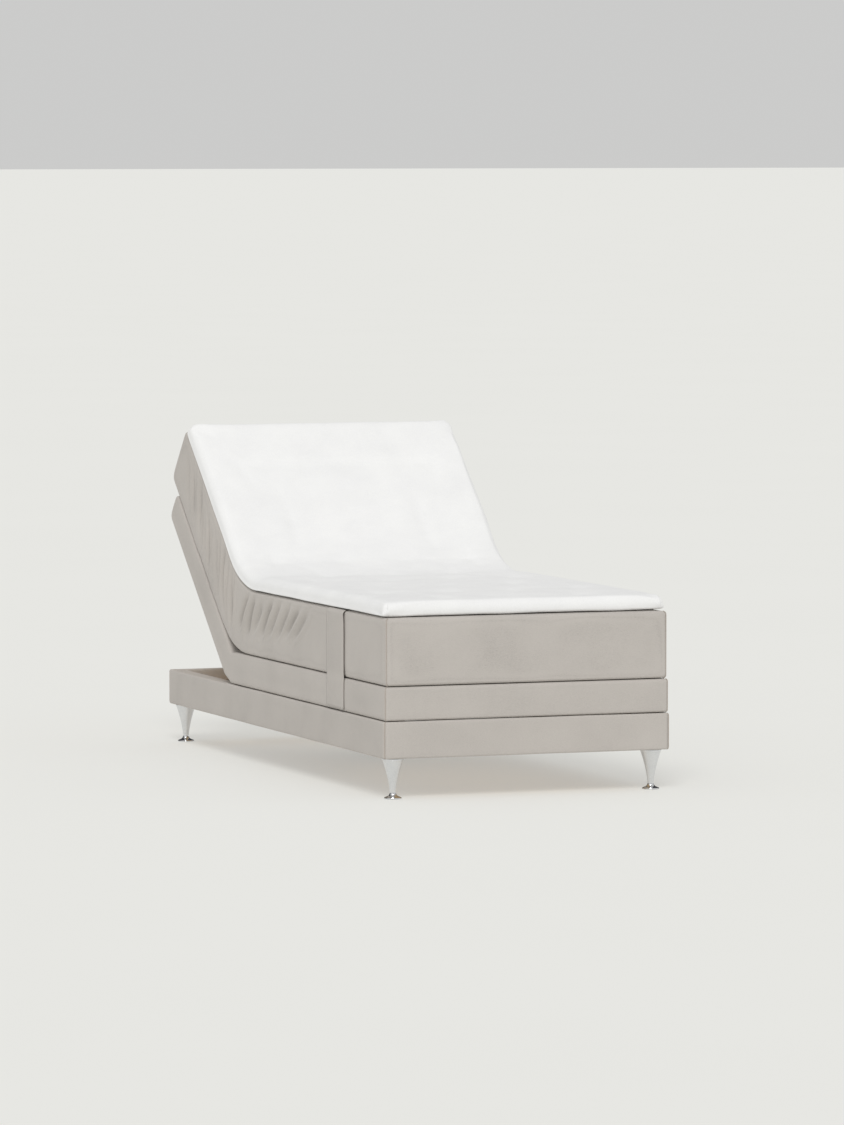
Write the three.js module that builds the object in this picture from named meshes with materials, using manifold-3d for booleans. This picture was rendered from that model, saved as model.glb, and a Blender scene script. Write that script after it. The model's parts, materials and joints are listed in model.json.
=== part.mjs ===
// Adjustable bed: upholstered base frame on four chrome legs, four hinged sections, mattress, topper,
// and two linear drives that lift the back and the thigh sections through torque tubes.
// Millimetres, +Z up. The foot end points to -Y, the head end to +Y. The origin is on the floor, mid-bed.
import * as THREE from "three";
import { mergeVertices } from "three/addons/utils/BufferGeometryUtils.js";
import Module from "manifold-3d";

// ---- driving dimensions -------------------------------------------------------------------------
const BED_WIDTH = 900;
const BED_LENGTH = 2000;
const LEG_HEIGHT = 120;
const RAIL_TOP = 228.5;
const SIDE_RAIL_THICK = 50;
const END_RAIL_THICK = 36;
const CORNER_RADIUS = 15;
const CROSS_BEAM = { depth: 104, top: 165 };
const LEG_INSET = 44;

const DECK_BOTTOM = 230.5;
const DECK_THICK = 12;
const PAD_TOP = 330;
const MATTRESS_TOP = 530;
const TOPPER_TOP = 580;
const LAYER_GAP = 0.5;

const SLAB_HALF_WIDTH = 445.5;
const DECK_INSET = 14;
const TOPPER_HALF_WIDTH = 443;
const SLAB_FOOT_Y = -997;
const SLAB_HEAD_Y = 1112;
const MATTRESS_HEAD_Y = 1188;
const TOPPER_FOOT_Y = -988;
const TOPPER_HEAD_Y = 1186;

const BACK_PIVOT = { y: 400, z: 320 };
const THIGH_PIVOT = { y: 100, z: 300 };
const KNEE_PIVOT = { y: -300, z: 217.5 };
const BACK_REST_DEG = 41;
const BACK_MAX_DEG = 60;
const THIGH_MAX_DEG = 30;

// lift gear: a torque tube, arms with nylon glides, and a hanging lever pushed by a linear drive
const HEAD_LIFT = {
  side: 1, pivot: BACK_PIVOT, shaft: { y: 550, z: 185 }, arm: 360,
  maxDeg: BACK_MAX_DEG, restDeg: BACK_REST_DEG, ratio: 7 / 6, driveX: 100,
};
const FOOT_LIFT = {
  side: -1, pivot: THIGH_PIVOT, shaft: { y: -50, z: 185 }, arm: 220,
  maxDeg: THIGH_MAX_DEG, restDeg: 0, ratio: 1.5, driveX: -100,
};
const TUBE_RADIUS = 13;
const GLIDE_RADIUS = 14;
const GLIDE_GAP = 0.4;
const ARM_HALF_DEPTH = { shaft: 12.5, glide: 9 };
const LEVER_LENGTH = 55;
const LEVER_HALF_WIDTH = 5;
const LEVER_BOSS = 9;

// linear drives: places along the drive are measured from its rear end
const PUSH_GAP = 1.2;
const PUSH_BLOCK = { halfWidth: 14, thick: 12, z: [124, 143] };
const PUSH_ROD = { radius: 10.5, z: 142, behindFace: 7, insideDrive: 60, clearance: 0.6 };
const GEAR_CASE = { halfWidth: 36, length: 90, bottom: 124 };
const MOTOR = { radius: 24, z: 196, start: 20, length: 170 };
const GUIDE_TUBE = { radius: 17, start: 85, end: 345, boreStart: 30 };
const DRIVE_REAR = { head: 125, foot: 375 };

const CONTROL_BOX = { x: [-46, 46], y: [170, 330], bottom: 176 };
const MAINS_INLET = { x: [-14, 14], y: [320, 340], z: [190, 210] };

// side plates lie in four planes across the bed, measured from the centre line
const OUTER_PLATE = [372, 378];
const INNER_PLATE = [364, 370];
const ARM_PLATE = [356, 362];
const STAY_PLATE = [380, 386];
const BEARING_PLATE = [388, 399.6];
const PLATE_BOTTOM = 205;
const PLATE_TOP = DECK_BOTTOM - 0.3;
const PIN_RADIUS = 4.5;
const PIN_HOLE = 4.9;
const PIVOT_BOSS = 9;
const LUG_WIDTH = 26;
const NOTCH_REACH = 48;
const NOTCH_X = [354, 387];
const BACK_PLATE_END = 955;
const CALF_PLATE_END = -940;
const BEARING_HALF_LENGTH = 35;
const BEARING_Z = [130, 226];
const STAY_HALF_WIDTH = 6;
const STAY_STUD_REACH = 20;

const STRAP = { thick: 2, y: [-650, -500], bottom: 236 };

// calf stays: parallel to the line from the thigh pivot to the knee, so the calf stays level
const STAY_BASE = { y: -160, z: KNEE_PIVOT.z };
const STAY_CALF = {
  y: STAY_BASE.y + KNEE_PIVOT.y - THIGH_PIVOT.y,
  z: STAY_BASE.z + KNEE_PIVOT.z - THIGH_PIVOT.z,
};

const degrees = THREE.MathUtils.degToRad;
const SIDES = { left: -1, right: 1 };
const ENDS = { foot: -1, head: 1 };

// ---- solids -------------------------------------------------------------------------------------
const wasm = await Module();
wasm.setup();

function toSolid(geometry) {
  const bare = geometry.clone();
  bare.deleteAttribute("normal");
  bare.deleteAttribute("uv");
  const welded = mergeVertices(bare, 1e-4);
  return new wasm.Manifold(new wasm.Mesh({
    numProp: 3,
    vertProperties: new Float32Array(welded.attributes.position.array),
    triVerts: new Uint32Array(welded.index.array),
  }));
}

function toGeometry(solid) {
  const mesh = solid.getMesh();
  const geometry = new THREE.BufferGeometry();
  geometry.setAttribute("position", new THREE.BufferAttribute(mesh.vertProperties, 3));
  geometry.setIndex(new THREE.BufferAttribute(mesh.triVerts, 1));
  return geometry;
}

function join(...geometries) {
  return toGeometry(geometries.map(toSolid).reduce((whole, part) => whole.add(part)));
}

function cut(geometry, ...tools) {
  return toGeometry(tools.map(toSolid).reduce((whole, tool) => whole.subtract(tool), toSolid(geometry)));
}

function block(x, y, z) {
  const geometry = new THREE.BoxGeometry(x[1] - x[0], y[1] - y[0], z[1] - z[0]);
  return geometry.translate((x[0] + x[1]) / 2, (y[0] + y[1]) / 2, (z[0] + z[1]) / 2);
}

// a range given from the centre line outwards, moved to the left or the right side
function across(range, side) {
  return side > 0 ? range : [-range[1], -range[0]];
}

// an outline of [y, z] points pushed along X
function slice(points, x) {
  const outline = new THREE.Shape(points.map(([y, z]) => new THREE.Vector2(y, z)));
  const geometry = new THREE.ExtrudeGeometry(outline, { depth: x[1] - x[0], bevelEnabled: false });
  const turn = new THREE.Matrix4().makeBasis(
    new THREE.Vector3(0, 1, 0), new THREE.Vector3(0, 0, 1), new THREE.Vector3(1, 0, 0),
  );
  return geometry.applyMatrix4(turn).translate(x[0], 0, 0);
}

function rodX(radius, x, centre, segments = 16) {
  const geometry = new THREE.CylinderGeometry(radius, radius, x[1] - x[0], segments);
  return geometry.rotateZ(Math.PI / 2).translate((x[0] + x[1]) / 2, centre.y, centre.z);
}

function rodY(radius, y, x, z, segments = 20) {
  const geometry = new THREE.CylinderGeometry(radius, radius, y[1] - y[0], segments);
  return geometry.translate(x, (y[0] + y[1]) / 2, z);
}

// ---- scene graph --------------------------------------------------------------------------------
const FINISH = {
  fabric: { color: 0xb8b0a6, roughness: 0.95, metalness: 0 },
  topper: { color: 0xeeeeee, roughness: 0.9, metalness: 0 },
  timber: { color: 0xc9a878, roughness: 0.7, metalness: 0 },
  chrome: { color: 0xd8dadc, roughness: 0.1, metalness: 1 },
  steel: { color: 0x3a3c40, roughness: 0.5, metalness: 0.6 },
  zinc: { color: 0xa8abad, roughness: 0.35, metalness: 0.9 },
  nylon: { color: 0xe4e2dc, roughness: 0.5, metalness: 0 },
  plastic: { color: 0x24262a, roughness: 0.55, metalness: 0 },
};

function put(group, name, geometry, finish) {
  const mesh = new THREE.Mesh(geometry, new THREE.MeshStandardMaterial(FINISH[finish]));
  mesh.name = name;
  group.add(mesh);
}

// a group turned by an angle about an axis along X; its meshes are drawn in the flat bed's place
function turned(parent, pivot, angle) {
  const hinge = new THREE.Group();
  hinge.position.set(0, pivot.y, pivot.z);
  hinge.rotation.x = angle;
  const body = new THREE.Group();
  body.position.set(0, -pivot.y, -pivot.z);
  hinge.add(body);
  parent.add(hinge);
  return body;
}

const bed = new THREE.Group();
const back = turned(bed, BACK_PIVOT, degrees(BACK_REST_DEG));
const flat = new THREE.Group();
bed.add(flat);

// ---- base frame ---------------------------------------------------------------------------------
function addBaseFrame() {
  const halfWidth = BED_WIDTH / 2;
  const halfLength = BED_LENGTH / 2;
  const inner = halfWidth - SIDE_RAIL_THICK;
  for (const [name, side] of Object.entries(SIDES)) {
    const plan = new THREE.Shape();
    const centre = halfWidth - CORNER_RADIUS;
    plan.moveTo(inner, -halfLength);
    plan.lineTo(centre, -halfLength);
    plan.absarc(centre, CORNER_RADIUS - halfLength, CORNER_RADIUS, -Math.PI / 2, 0, false);
    plan.absarc(centre, halfLength - CORNER_RADIUS, CORNER_RADIUS, 0, Math.PI / 2, false);
    plan.lineTo(inner, halfLength);
    const rail = new THREE.ExtrudeGeometry(plan, {
      depth: RAIL_TOP - LEG_HEIGHT, bevelEnabled: false, curveSegments: 6,
    });
    rail.translate(0, 0, LEG_HEIGHT);
    if (side < 0) {
      rail.rotateZ(Math.PI);
    }
    put(flat, `side_rail_${name}`, rail, "fabric");
  }
  const span = [-inner + LAYER_GAP, inner - LAYER_GAP];
  const railFace = halfLength - END_RAIL_THICK;
  for (const [name, end] of Object.entries(ENDS)) {
    const railY = across([railFace, halfLength], end);
    const beamY = across([railFace - CROSS_BEAM.depth, railFace - LAYER_GAP], end);
    put(flat, `${name}_rail`, block(span, railY, [LEG_HEIGHT, RAIL_TOP]), "fabric");
    put(flat, `${name}_cross_beam`, block(span, beamY, [LEG_HEIGHT, CROSS_BEAM.top]), "timber");
  }
}

// a chrome leg: a concave taper on a flared disc foot, under a short collar
function legGeometry() {
  const footRadius = 25.5;
  const footEdge = 4;
  const footBevel = 1;
  const waistRadius = 9.5;
  const waistHeight = 18;
  const topRadius = 30;
  const collarRadius = 32;
  const collarHeight = 5;
  const top = LEG_HEIGHT - 0.3;
  const flareControl = new THREE.Vector2(waistRadius + 2, 7);
  const taperControl = new THREE.Vector2(waistRadius + 3, 70);
  const waist = new THREE.Vector2(waistRadius, waistHeight);
  const footRim = new THREE.Vector2(footRadius, footEdge);
  const profile = [
    new THREE.Vector2(0, 0), new THREE.Vector2(footRadius - footBevel, 0),
    new THREE.Vector2(footRadius, footBevel), footRim,
  ];
  const flare = new THREE.QuadraticBezierCurve(footRim, flareControl, waist);
  const taper = new THREE.QuadraticBezierCurve(
    waist, taperControl, new THREE.Vector2(topRadius, top - collarHeight),
  );
  profile.push(...flare.getPoints(3).slice(1), ...taper.getPoints(6).slice(1));
  profile.push(
    new THREE.Vector2(collarRadius, top - collarHeight), new THREE.Vector2(collarRadius, top),
    new THREE.Vector2(0, top),
  );
  return new THREE.LatheGeometry(profile, 24).rotateX(Math.PI / 2);
}

function addLegs() {
  for (const [end, along] of Object.entries(ENDS)) {
    for (const [name, side] of Object.entries(SIDES)) {
      const leg = legGeometry();
      leg.translate(side * (BED_WIDTH / 2 - LEG_INSET), along * (BED_LENGTH / 2 - LEG_INSET), 0);
      put(flat, `leg_${end}_${name}`, leg, "chrome");
    }
  }
}

// ---- hinged sections ----------------------------------------------------------------------------
// the end of a layer at a pivot, from its bottom to its top: upright below the pivot, and leaning
// back by half of the fold above it, so that two neighbours close on each other at full lift
function pivotEnd(pivot, side, z, halfFoldDeg, gap) {
  const lean = Math.tan(degrees(halfFoldDeg));
  const reach = (height) => pivot.y + side * (gap + Math.max(0, height - pivot.z) * lean);
  const heights = pivot.z > z[0] && pivot.z < z[1] ? [z[0], pivot.z, z[1]] : z;
  return heights.map((height) => [reach(height), height]);
}

// the free end of a layer, from its bottom to its top, with both edges rounded
function roundEnd(y, side, z, radius) {
  const steps = 3;
  const points = [];
  for (const [height, from] of [[z[0] + radius, -90], [z[1] - radius, 0]]) {
    for (let step = 0; step <= steps; step += 1) {
      const angle = degrees(from + (90 * step) / steps);
      points.push([y + side * (radius * Math.cos(angle) - radius), height + radius * Math.sin(angle)]);
    }
  }
  return points;
}

function layer(low, high, halfWidth) {
  return slice([...low, ...high.reverse()].reverse(), [-halfWidth, halfWidth]);
}

function notches(pivot) {
  return Object.values(SIDES).map((side) => block(
    across(NOTCH_X, side), [pivot.y - NOTCH_REACH, pivot.y + NOTCH_REACH], [DECK_BOTTOM - 10, PAD_TOP + 10],
  ));
}

// where each section starts and ends: a pivot it folds at, or a free end
const SECTIONS = {
  calf: { body: flat, foot: null, head: KNEE_PIVOT, footFold: 0, headFold: 0 },
  thigh: { body: flat, foot: KNEE_PIVOT, head: THIGH_PIVOT, footFold: 0, headFold: THIGH_MAX_DEG / 2 },
  seat: {
    body: flat, foot: THIGH_PIVOT, head: BACK_PIVOT, footFold: THIGH_MAX_DEG / 2, headFold: BACK_MAX_DEG / 2,
  },
  back: { body: back, foot: BACK_PIVOT, head: null, footFold: BACK_MAX_DEG / 2, headFold: 0 },
};

const LAYERS = {
  deck: {
    z: [DECK_BOTTOM, DECK_BOTTOM + DECK_THICK], halfWidth: SLAB_HALF_WIDTH - DECK_INSET, radius: 4,
    foot: SLAB_FOOT_Y + DECK_INSET, head: SLAB_HEAD_Y - DECK_INSET, finish: "timber", notched: true,
  },
  pad: {
    z: [DECK_BOTTOM + DECK_THICK + LAYER_GAP, PAD_TOP], halfWidth: SLAB_HALF_WIDTH, radius: 15,
    foot: SLAB_FOOT_Y, head: SLAB_HEAD_Y, finish: "fabric", notched: true,
  },
  mattress: {
    z: [PAD_TOP + LAYER_GAP, MATTRESS_TOP], halfWidth: SLAB_HALF_WIDTH, radius: 20,
    foot: SLAB_FOOT_Y, head: MATTRESS_HEAD_Y, finish: "fabric", notched: false,
  },
  topper: {
    z: [MATTRESS_TOP + LAYER_GAP, TOPPER_TOP], halfWidth: TOPPER_HALF_WIDTH, radius: 18,
    foot: TOPPER_FOOT_Y, head: TOPPER_HEAD_Y, finish: "topper", notched: false,
  },
};

function addSections() {
  const gap = 1.5;
  for (const [sectionName, section] of Object.entries(SECTIONS)) {
    for (const [layerName, spec] of Object.entries(LAYERS)) {
      const low = section.foot
        ? pivotEnd(section.foot, 1, spec.z, section.footFold, gap)
        : roundEnd(spec.foot, -1, spec.z, spec.radius);
      const high = section.head
        ? pivotEnd(section.head, -1, spec.z, section.headFold, gap)
        : roundEnd(spec.head, 1, spec.z, spec.radius);
      const cuts = [section.foot, section.head].filter((pivot) => pivot && pivot !== KNEE_PIVOT);
      const whole = layer(low, high, spec.halfWidth);
      const solid = spec.notched && cuts.length ? cut(whole, ...cuts.flatMap(notches)) : whole;
      put(section.body, `${sectionName}_${layerName}`, solid, spec.finish);
    }
  }
}

// ---- side plates under the sections, which carry the hinges and the cam edges --------------------
function turnedPoint(point, pivot, angle) {
  const y = point.y - pivot.y;
  const z = point.z - pivot.z;
  return {
    y: pivot.y + y * Math.cos(angle) - z * Math.sin(angle),
    z: pivot.z + y * Math.sin(angle) + z * Math.cos(angle),
  };
}

// the glide's centre as the moving section sees it, when that section is raised by an angle
function glidePath(lift, angle) {
  const armAngle = lift.ratio * angle;
  const centre = {
    y: lift.shaft.y + lift.side * lift.arm * Math.cos(armAngle),
    z: lift.shaft.z + lift.arm * Math.sin(armAngle),
  };
  return turnedPoint(centre, lift.pivot, -lift.side * angle);
}

// the cam edge: the glide's path moved towards the section by the glide's radius and its clearance,
// so that the arm turns at a constant ratio to the section
function camEdge(lift) {
  const steps = 14;
  const margin = degrees(2.5);
  const small = 1e-4;
  const offset = GLIDE_RADIUS + GLIDE_GAP;
  const span = degrees(lift.maxDeg) + 2 * margin;
  const points = [];
  for (let step = 0; step <= steps; step += 1) {
    const angle = (span * step) / steps - margin;
    const here = glidePath(lift, angle);
    const next = glidePath(lift, angle + small);
    const length = Math.hypot(next.y - here.y, next.z - here.z);
    const along = { y: (here.y - next.y) / length, z: (here.z - next.z) / length };
    points.push([here.y - lift.side * along.z * offset, here.z + lift.side * along.y * offset]);
  }
  return points;
}

function lug(pivot, side, x) {
  const foot = pivot.y + side * LUG_WIDTH;
  const bossEdge = 0.9 * PIVOT_BOSS;
  const weldLine = PLATE_BOTTOM + 1;
  return join(
    rodX(PIVOT_BOSS, x, pivot),
    slice(orderedOutline([
      [pivot.y, pivot.z + bossEdge], [pivot.y, pivot.z - bossEdge],
      [pivot.y + side * 2, weldLine], [foot, weldLine], [foot, PLATE_TOP],
    ]), x),
  );
}

// outlines are drawn the same way round, whichever side they are mirrored to
function orderedOutline(points) {
  const area = THREE.ShapeUtils.area(points.map(([y, z]) => new THREE.Vector2(y, z)));
  return area < 0 ? points.reverse() : points;
}

function bar(y, x, lowerEdge = []) {
  return slice(orderedOutline([
    [y[0], PLATE_TOP], [y[0], PLATE_BOTTOM], ...lowerEdge, [y[1], PLATE_BOTTOM], [y[1], PLATE_TOP],
  ]), x);
}

function holes(pivots, x) {
  return pivots.map((pivot) => rodX(PIN_HOLE, [x[0] - 1, x[1] + 1], pivot));
}

function sortedAlongY(points) {
  return [...points].sort((a, b) => a[0] - b[0]);
}

function addSidePlates() {
  const inset = 4;
  const kneeBoss = PIVOT_BOSS + 3;
  for (const [name, side] of Object.entries(SIDES)) {
    const inner = across(INNER_PLATE, side);
    const outer = across(OUTER_PLATE, side);

    const seatPlate = join(
      bar([THIGH_PIVOT.y + inset, BACK_PIVOT.y - inset], inner),
      lug(BACK_PIVOT, -1, inner),
      lug(THIGH_PIVOT, 1, inner),
    );
    const seatHoles = holes([BACK_PIVOT, THIGH_PIVOT], inner);
    put(flat, `seat_hinge_plate_${name}`, cut(seatPlate, ...seatHoles), "steel");

    const backPlate = join(
      bar([BACK_PIVOT.y + inset, BACK_PLATE_END], outer, sortedAlongY(camEdge(HEAD_LIFT))),
      lug(BACK_PIVOT, 1, outer),
    );
    put(back, `back_hinge_plate_${name}`, cut(backPlate, ...holes([BACK_PIVOT], outer)), "steel");

    const thighPlate = join(
      bar([KNEE_PIVOT.y + inset, THIGH_PIVOT.y - inset], outer, sortedAlongY(camEdge(FOOT_LIFT))),
      lug(THIGH_PIVOT, -1, outer),
      rodX(kneeBoss, outer, KNEE_PIVOT),
    );
    const thighHoles = holes([THIGH_PIVOT, KNEE_PIVOT], outer);
    put(flat, `thigh_hinge_plate_${name}`, cut(thighPlate, ...thighHoles), "steel");

    const stud = across([INNER_PLATE[0], STAY_PLATE[1] + 1], side);
    const bracket = [
      [STAY_CALF.y - PIVOT_BOSS, STAY_CALF.z], [STAY_CALF.y + PIVOT_BOSS, STAY_CALF.z],
      [STAY_CALF.y + 3 * PIVOT_BOSS, PLATE_BOTTOM + 1], [STAY_CALF.y - 3 * PIVOT_BOSS, PLATE_BOTTOM + 1],
    ];
    const calfPlate = cut(
      join(
        bar([CALF_PLATE_END, KNEE_PIVOT.y - inset], inner),
        rodX(kneeBoss, inner, KNEE_PIVOT),
        slice(orderedOutline(bracket), inner),
        rodX(PIVOT_BOSS, inner, STAY_CALF),
      ),
      ...holes([KNEE_PIVOT], inner),
    );
    put(flat, `calf_hinge_plate_${name}`, join(calfPlate, rodX(PIN_RADIUS, stud, STAY_CALF)), "steel");
  }
}

function addHingePins() {
  const headBeyondPlates = 1.4;
  const pinX = [INNER_PLATE[0] - headBeyondPlates, OUTER_PLATE[1] + headBeyondPlates];
  const pivots = { back: BACK_PIVOT, thigh: THIGH_PIVOT, knee: KNEE_PIVOT };
  for (const [joint, pivot] of Object.entries(pivots)) {
    for (const [name, side] of Object.entries(SIDES)) {
      put(flat, `${joint}_hinge_pin_${name}`, rodX(PIN_RADIUS, across(pinX, side), pivot), "zinc");
    }
  }
}

// ---- calf stays and bearing plates --------------------------------------------------------------
function addStaysAndBearings() {
  const boreGap = 0.5;
  for (const [name, side] of Object.entries(SIDES)) {
    const x = across(STAY_PLATE, side);
    const run = { y: STAY_CALF.y - STAY_BASE.y, z: STAY_CALF.z - STAY_BASE.z };
    const length = Math.hypot(run.y, run.z);
    const normal = { y: (-run.z / length) * STAY_HALF_WIDTH, z: (run.y / length) * STAY_HALF_WIDTH };
    const strip = slice(orderedOutline([
      [STAY_BASE.y + normal.y, STAY_BASE.z + normal.z], [STAY_CALF.y + normal.y, STAY_CALF.z + normal.z],
      [STAY_CALF.y - normal.y, STAY_CALF.z - normal.z], [STAY_BASE.y - normal.y, STAY_BASE.z - normal.z],
    ]), x);
    const stay = join(strip, rodX(PIVOT_BOSS, x, STAY_BASE), rodX(PIVOT_BOSS, x, STAY_CALF));
    put(flat, `calf_stay_${name}`, cut(stay, ...holes([STAY_BASE, STAY_CALF], x)), "steel");

    const plate = across(BEARING_PLATE, side);
    const bore = (shaft) => rodX(TUBE_RADIUS + boreGap, [plate[0] - 1, plate[1] + 1], shaft);
    const headY = [HEAD_LIFT.shaft.y - BEARING_HALF_LENGTH, HEAD_LIFT.shaft.y + BEARING_HALF_LENGTH];
    const headPlate = block(plate, headY, BEARING_Z);
    put(flat, `head_bearing_${name}`, cut(headPlate, bore(HEAD_LIFT.shaft)), "steel");

    const footY = [STAY_BASE.y - STAY_STUD_REACH, FOOT_LIFT.shaft.y + BEARING_HALF_LENGTH];
    const footPlate = block(plate, footY, BEARING_Z);
    const stud = rodX(PIN_RADIUS, across([STAY_PLATE[0] - 1, BEARING_PLATE[1] - 4], side), STAY_BASE);
    put(flat, `foot_bearing_${name}`, join(cut(footPlate, bore(FOOT_LIFT.shaft)), stud), "steel");
  }
}

// ---- lift gear ----------------------------------------------------------------------------------
// lever angle from the vertical when the section is raised by an angle
function leverAngle(lift, sectionDeg) {
  return degrees(lift.ratio * (sectionDeg - lift.maxDeg / 2));
}

// where the push block's face stands; it moves in proportion to the section's angle
function pushFace(lift, sectionDeg) {
  const extreme = leverAngle(lift, lift.maxDeg);
  const perRadian = (LEVER_LENGTH * Math.sin(extreme)) / extreme;
  const travel = perRadian * leverAngle(lift, sectionDeg);
  return lift.shaft.y + lift.side * (travel - LEVER_BOSS - PUSH_GAP);
}

function addLift(name, lift) {
  const angle = lift.side * degrees(lift.ratio * lift.restDeg);
  const body = turned(bed, lift.shaft, angle);
  const tubeEnd = (BEARING_PLATE[0] + BEARING_PLATE[1]) / 2;
  const tube = rodX(TUBE_RADIUS, [-tubeEnd, tubeEnd], lift.shaft);
  const flatLever = leverAngle(lift, 0);
  const leverEnd = {
    y: lift.shaft.y + lift.side * LEVER_LENGTH * Math.sin(flatLever),
    z: lift.shaft.z - LEVER_LENGTH * Math.cos(flatLever),
  };
  const leverX = [lift.driveX - LEVER_HALF_WIDTH, lift.driveX + LEVER_HALF_WIDTH];
  const lever = slice(orderedOutline([
    [lift.shaft.y - LEVER_HALF_WIDTH, lift.shaft.z], [leverEnd.y - LEVER_HALF_WIDTH, leverEnd.z],
    [leverEnd.y + LEVER_HALF_WIDTH, leverEnd.z], [lift.shaft.y + LEVER_HALF_WIDTH, lift.shaft.z],
  ]), leverX);
  const parts = [tube, lever, rodX(LEVER_BOSS, leverX, leverEnd)];
  const glideAt = { y: lift.shaft.y + lift.side * lift.arm, z: lift.shaft.z };
  const glideX = [OUTER_PLATE[0] - 1.5, OUTER_PLATE[1] + 1];
  for (const [sideName, side] of Object.entries(SIDES)) {
    const x = across(ARM_PLATE, side);
    parts.push(
      slice(orderedOutline([
        [lift.shaft.y, lift.shaft.z + ARM_HALF_DEPTH.shaft],
        [lift.shaft.y, lift.shaft.z - ARM_HALF_DEPTH.shaft],
        [glideAt.y, glideAt.z - ARM_HALF_DEPTH.glide], [glideAt.y, glideAt.z + ARM_HALF_DEPTH.glide],
      ]), x),
      rodX(ARM_HALF_DEPTH.glide, x, glideAt),
      rodX(PIN_RADIUS, across([ARM_PLATE[0], glideX[1]], side), glideAt),
    );
    const glide = rodX(GLIDE_RADIUS, across(glideX, side), glideAt, 24);
    put(body, `${name}_glide_${sideName}`, cut(glide, ...holes([glideAt], across(glideX, side))), "nylon");
  }
  put(body, `${name}_lift_frame`, join(...parts), "steel");
}

// a linear drive hung under the seat deck: gear case, motor above, guide tube with the push rod in it
function addDrive(name, lift) {
  const x = lift.driveX;
  const rear = DRIVE_REAR[name];
  const along = (from, to) => across([from, to], lift.side).map((value) => rear + value);
  const caseX = [x - GEAR_CASE.halfWidth, x + GEAR_CASE.halfWidth];
  const gearCase = block(caseX, along(0, GEAR_CASE.length), [GEAR_CASE.bottom, PLATE_TOP]);
  const motor = rodY(MOTOR.radius, along(MOTOR.start, MOTOR.start + MOTOR.length), x, MOTOR.z, 24);
  const guide = rodY(GUIDE_TUBE.radius, along(GUIDE_TUBE.start, GUIDE_TUBE.end), x, PUSH_ROD.z);
  const boreY = along(GUIDE_TUBE.boreStart, GUIDE_TUBE.end + 5);
  const bore = rodY(PUSH_ROD.radius + PUSH_ROD.clearance, boreY, x, PUSH_ROD.z);
  put(flat, `${name}_drive`, cut(join(gearCase, motor, guide), bore), "plastic");

  const face = pushFace(lift, lift.restDeg);
  const rodLength = Math.abs(pushFace(lift, 0) - rear) - PUSH_ROD.insideDrive;
  const behindFace = (from, to) => [face - lift.side * from, face - lift.side * to].sort((a, b) => a - b);
  const rod = rodY(PUSH_ROD.radius, behindFace(PUSH_ROD.behindFace, rodLength), x, PUSH_ROD.z);
  const pusherX = [x - PUSH_BLOCK.halfWidth, x + PUSH_BLOCK.halfWidth];
  const pusher = block(pusherX, behindFace(0, PUSH_BLOCK.thick), PUSH_BLOCK.z);
  put(flat, `${name}_push_rod`, join(rod, pusher), "zinc");
}

function addControlBox() {
  const box = block(CONTROL_BOX.x, CONTROL_BOX.y, [CONTROL_BOX.bottom, PLATE_TOP]);
  const inlet = block(MAINS_INLET.x, MAINS_INLET.y, MAINS_INLET.z);
  put(flat, "control_box", cut(box, inlet), "plastic");
}

// ---- mattress straps on the calf section --------------------------------------------------------
function addStraps() {
  const inner = SLAB_HALF_WIDTH + LAYER_GAP;
  for (const [name, side] of Object.entries(SIDES)) {
    const strapX = across([inner, inner + STRAP.thick], side);
    put(flat, `strap_${name}`, block(strapX, STRAP.y, [STRAP.bottom, MATTRESS_TOP - 1]), "fabric");
  }
}

addBaseFrame();
addLegs();
addSections();
addSidePlates();
addHingePins();
addStaysAndBearings();
addLift("head", HEAD_LIFT);
addLift("foot", FOOT_LIFT);
addDrive("head", HEAD_LIFT);
addDrive("foot", FOOT_LIFT);
addControlBox();
addStraps();

export default bed;
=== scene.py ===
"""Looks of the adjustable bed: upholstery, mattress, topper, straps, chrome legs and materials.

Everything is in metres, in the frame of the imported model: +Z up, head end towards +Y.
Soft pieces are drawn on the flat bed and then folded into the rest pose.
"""
import json
import math

import bmesh
import bpy
import numpy as np
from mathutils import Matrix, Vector


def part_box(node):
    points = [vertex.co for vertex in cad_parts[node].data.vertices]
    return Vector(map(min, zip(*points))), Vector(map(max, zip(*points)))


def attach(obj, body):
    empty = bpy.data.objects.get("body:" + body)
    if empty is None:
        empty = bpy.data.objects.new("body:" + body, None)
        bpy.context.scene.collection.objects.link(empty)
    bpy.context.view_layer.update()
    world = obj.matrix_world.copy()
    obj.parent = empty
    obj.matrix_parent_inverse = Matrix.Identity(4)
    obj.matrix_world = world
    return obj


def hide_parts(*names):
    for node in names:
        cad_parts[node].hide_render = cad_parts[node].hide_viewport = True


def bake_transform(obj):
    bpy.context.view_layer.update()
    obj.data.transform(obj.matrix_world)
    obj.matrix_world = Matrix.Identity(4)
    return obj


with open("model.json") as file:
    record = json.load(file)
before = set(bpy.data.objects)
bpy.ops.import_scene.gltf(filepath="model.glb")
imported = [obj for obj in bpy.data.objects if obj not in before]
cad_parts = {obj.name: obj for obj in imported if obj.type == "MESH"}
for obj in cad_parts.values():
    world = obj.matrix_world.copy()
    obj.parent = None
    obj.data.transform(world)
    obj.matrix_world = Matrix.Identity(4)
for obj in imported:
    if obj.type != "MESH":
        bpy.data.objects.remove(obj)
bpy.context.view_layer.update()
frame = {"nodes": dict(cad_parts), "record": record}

# ---- places taken from the frame ----------------------------------------------------------------
JOINTS = {joint["name"]: joint for joint in frame["record"]["behaviour"]["joints"]}
BACK_PIVOT = np.array(JOINTS["back_lift"]["pos_m"])
THIGH_PIVOT = np.array(JOINTS["thigh_lift"]["pos_m"])
KNEE_PIVOT = np.array(JOINTS["calf_fold"]["pos_m"])
REST_ANGLE = -math.radians(JOINTS["back_lift"]["range_deg"][0])

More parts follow.
